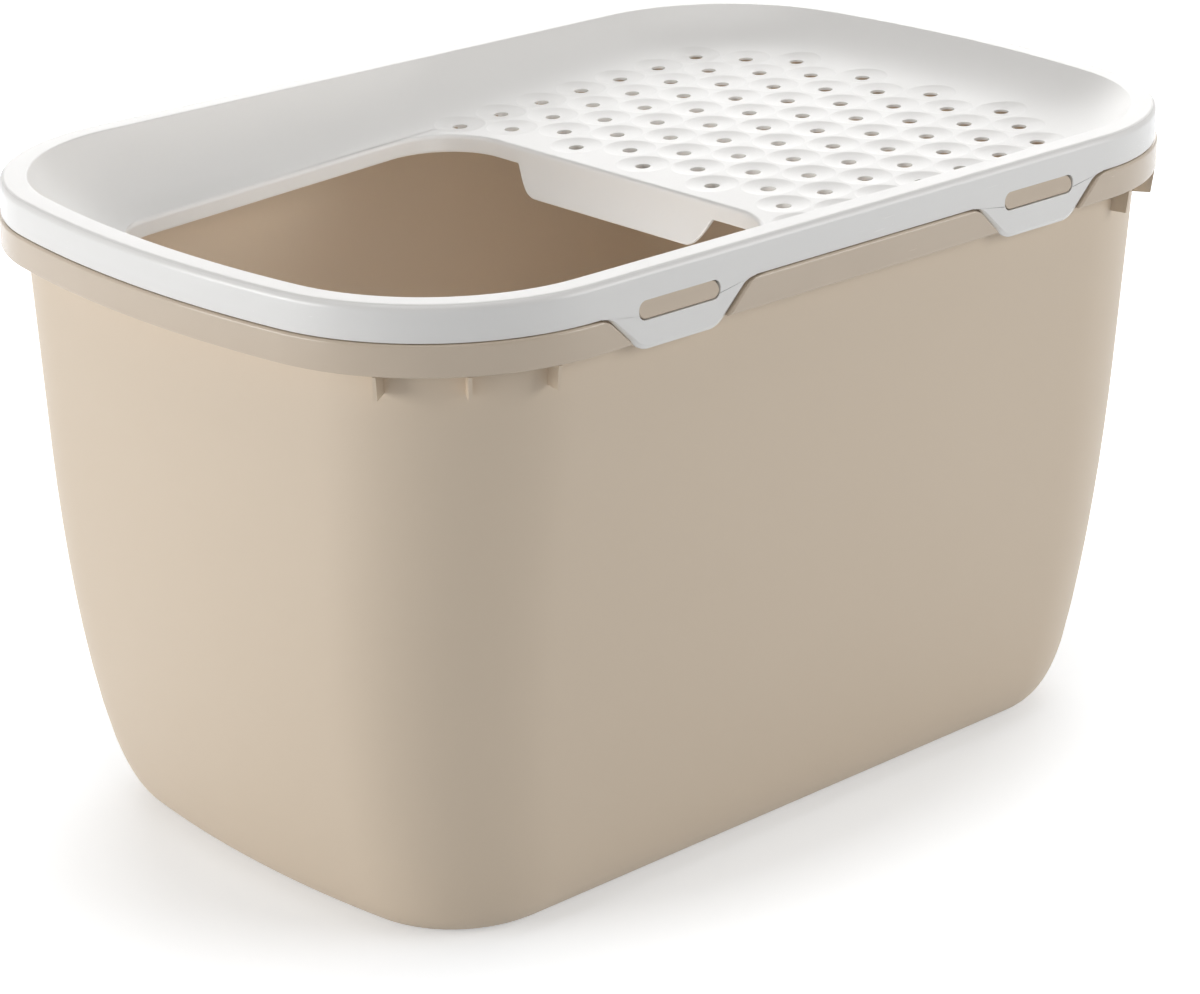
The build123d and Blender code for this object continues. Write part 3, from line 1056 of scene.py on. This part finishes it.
lamps = {
    "leftSoftbox": {"at": (-2.2, 0.8, 0.5), "aim": (0, 0, 0.2), "size": (1.6, 1.0), "power": 26.0},
    "rightSoftbox": {"at": (1.6, -2.4, 1.2), "aim": (0, 0, 0.2), "size": (1.8, 1.6), "power": 32.5},
    "cornerFill": {"at": (-1.5, -1.7, 0.7), "aim": (0, 0, 0.2), "size": (1.0, 1.0), "power": 2.5},
    "overhead": {"at": (0, 0, 2.4), "aim": (0, 0, 0.2), "size": (2.2, 1.8), "power": 17.5},
    "backSoftbox": {"at": (1.7, 1.8, 1.1), "aim": (0, 0, 0.33), "size": (2.4, 1.2), "power": 25.0},
    "insideFill": {"at": (-0.13, -0.11, 0.22), "aim": (0.14, 0.17, 0.17), "size": (0.12, 0.06),
                   "power": 0.24},
}


def makeCamera():
    azimuth = radians(studio["azimuth"])
    elevation = radians(studio["elevation"])
    roll = radians(studio["roll"])
    along = cos(elevation)
    forward = Vector((-sin(azimuth) * along, cos(azimuth) * along, -sin(elevation)))
    right = Vector((cos(azimuth), sin(azimuth), 0))
    up = right.cross(forward)
    turnedRight = right * cos(roll) + up * sin(roll)
    turnedUp = up * cos(roll) - right * sin(roll)
    data = bpy.data.cameras.new("camera")
    data.sensor_width = studio["sensor"]
    data.sensor_fit = "HORIZONTAL"
    data.lens = studio["lens"]
    data.shift_x, data.shift_y = studio["shift"]
    data.clip_end = 100
    camera = bpy.data.objects.new("camera", data)
    bpy.context.collection.objects.link(camera)
    axes = Matrix((turnedRight, turnedUp, -forward)).transposed()
    place = Vector(studio["target"]) - forward * studio["distance"]
    camera.matrix_world = Matrix.Translation(place) @ axes.to_4x4()
    bpy.context.scene.camera = camera


def seenRays(tree):
    # rays that reach a surface straight from the camera, or by way of gloss or glass
    path = addNode(tree, "ShaderNodeLightPath")
    seen = mathNode(
        tree, "MAXIMUM", path.outputs["Is Camera Ray"], path.outputs["Is Transmission Ray"]
    )
    return mathNode(tree, "MAXIMUM", seen, path.outputs["Is Glossy Ray"])


def makeLamps():
    for name, lamp in lamps.items():
        data = bpy.data.lights.new(name, "AREA")
        data.shape = "RECTANGLE"
        data.size, data.size_y = lamp["size"]
        data.energy = lamp["power"]
        light = bpy.data.objects.new(name, data)
        bpy.context.collection.objects.link(light)
        light.location = lamp["at"]
        light.visible_camera = False
        aim = Vector(lamp["aim"]) - light.location
        light.rotation_euler = aim.to_track_quat("-Z", "Y").to_euler()


def makeFloor():
    deselectAll()
    below = (0, 0, -floorLook["under"])
    bpy.ops.mesh.primitive_plane_add(size=floorLook["side"], location=below)
    bpy.ops.object.transform_apply(location=True, rotation=True, scale=True)
    floor = namedPrimitive("floorSheet")
    material = bpy.data.materials.new("floorSheet")
    material.use_nodes = True
    tree = material.node_tree
    shader = tree.nodes["Principled BSDF"]
    setInputs(shader, Base_Color=floorLook["colour"], Roughness=0.9, Specular_IOR_Level=0.1)
    seen = seenRays(tree)
    glow = addNode(tree, "ShaderNodeEmission")
    glow.inputs["Color"].default_value = (1, 1, 1, 1)
    # the sheet glows whiter further out and less round the foot, which paints shade round the foot
    # on top of the lamps' own shadow
    shrink = addNode(tree, "ShaderNodeMapping")
    footX, footY = floorLook["foot"]
    shrink.inputs["Scale"].default_value = (1 / footX, 1 / footY, 1)
    tree.links.new(addNode(tree, "ShaderNodeTexCoord").outputs["Object"], shrink.inputs["Vector"])
    away = addNode(tree, "ShaderNodeVectorMath", operation="LENGTH")
    tree.links.new(shrink.outputs["Vector"], away.inputs[0])
    # the glow is lower near the foot: painted shade round the tub, added to the lamps' shadow
    near = rangeNode(tree, away.outputs["Value"], *floorLook["near"])
    far = rangeNode(tree, away.outputs["Value"], *floorLook["far"])
    backdropGlowAndPaintedShade = mathNode(tree, "ADD", near, far)
    tree.links.new(mathNode(tree, "MULTIPLY", seen, backdropGlowAndPaintedShade), glow.inputs["Strength"])
    total = addNode(tree, "ShaderNodeAddShader")
    tree.links.new(shader.outputs[0], total.inputs[0])
    tree.links.new(glow.outputs[0], total.inputs[1])
    tree.links.new(total.outputs[0], tree.nodes["Material Output"].inputs["Surface"])
    floor.data.materials.append(material)


def makeWorld():
    world = bpy.data.worlds.new("studio")
    bpy.context.scene.world = world
    world.use_nodes = True
    tree = world.node_tree
    background = tree.nodes["Background"]
    background.inputs["Color"].default_value = (1, 1, 1, 1)
    strength = rangeNode(tree, seenRays(tree), 0, 1, studio["roomLight"], 1.0)
    tree.links.new(strength, background.inputs["Strength"])


makeCamera()
makeTub()
makeLid()
placeClips()
dressNodes()
print("pieces made")
makeLamps()
makeFloor()
makeWorld()
bpy.context.scene.view_settings.view_transform = "Standard"
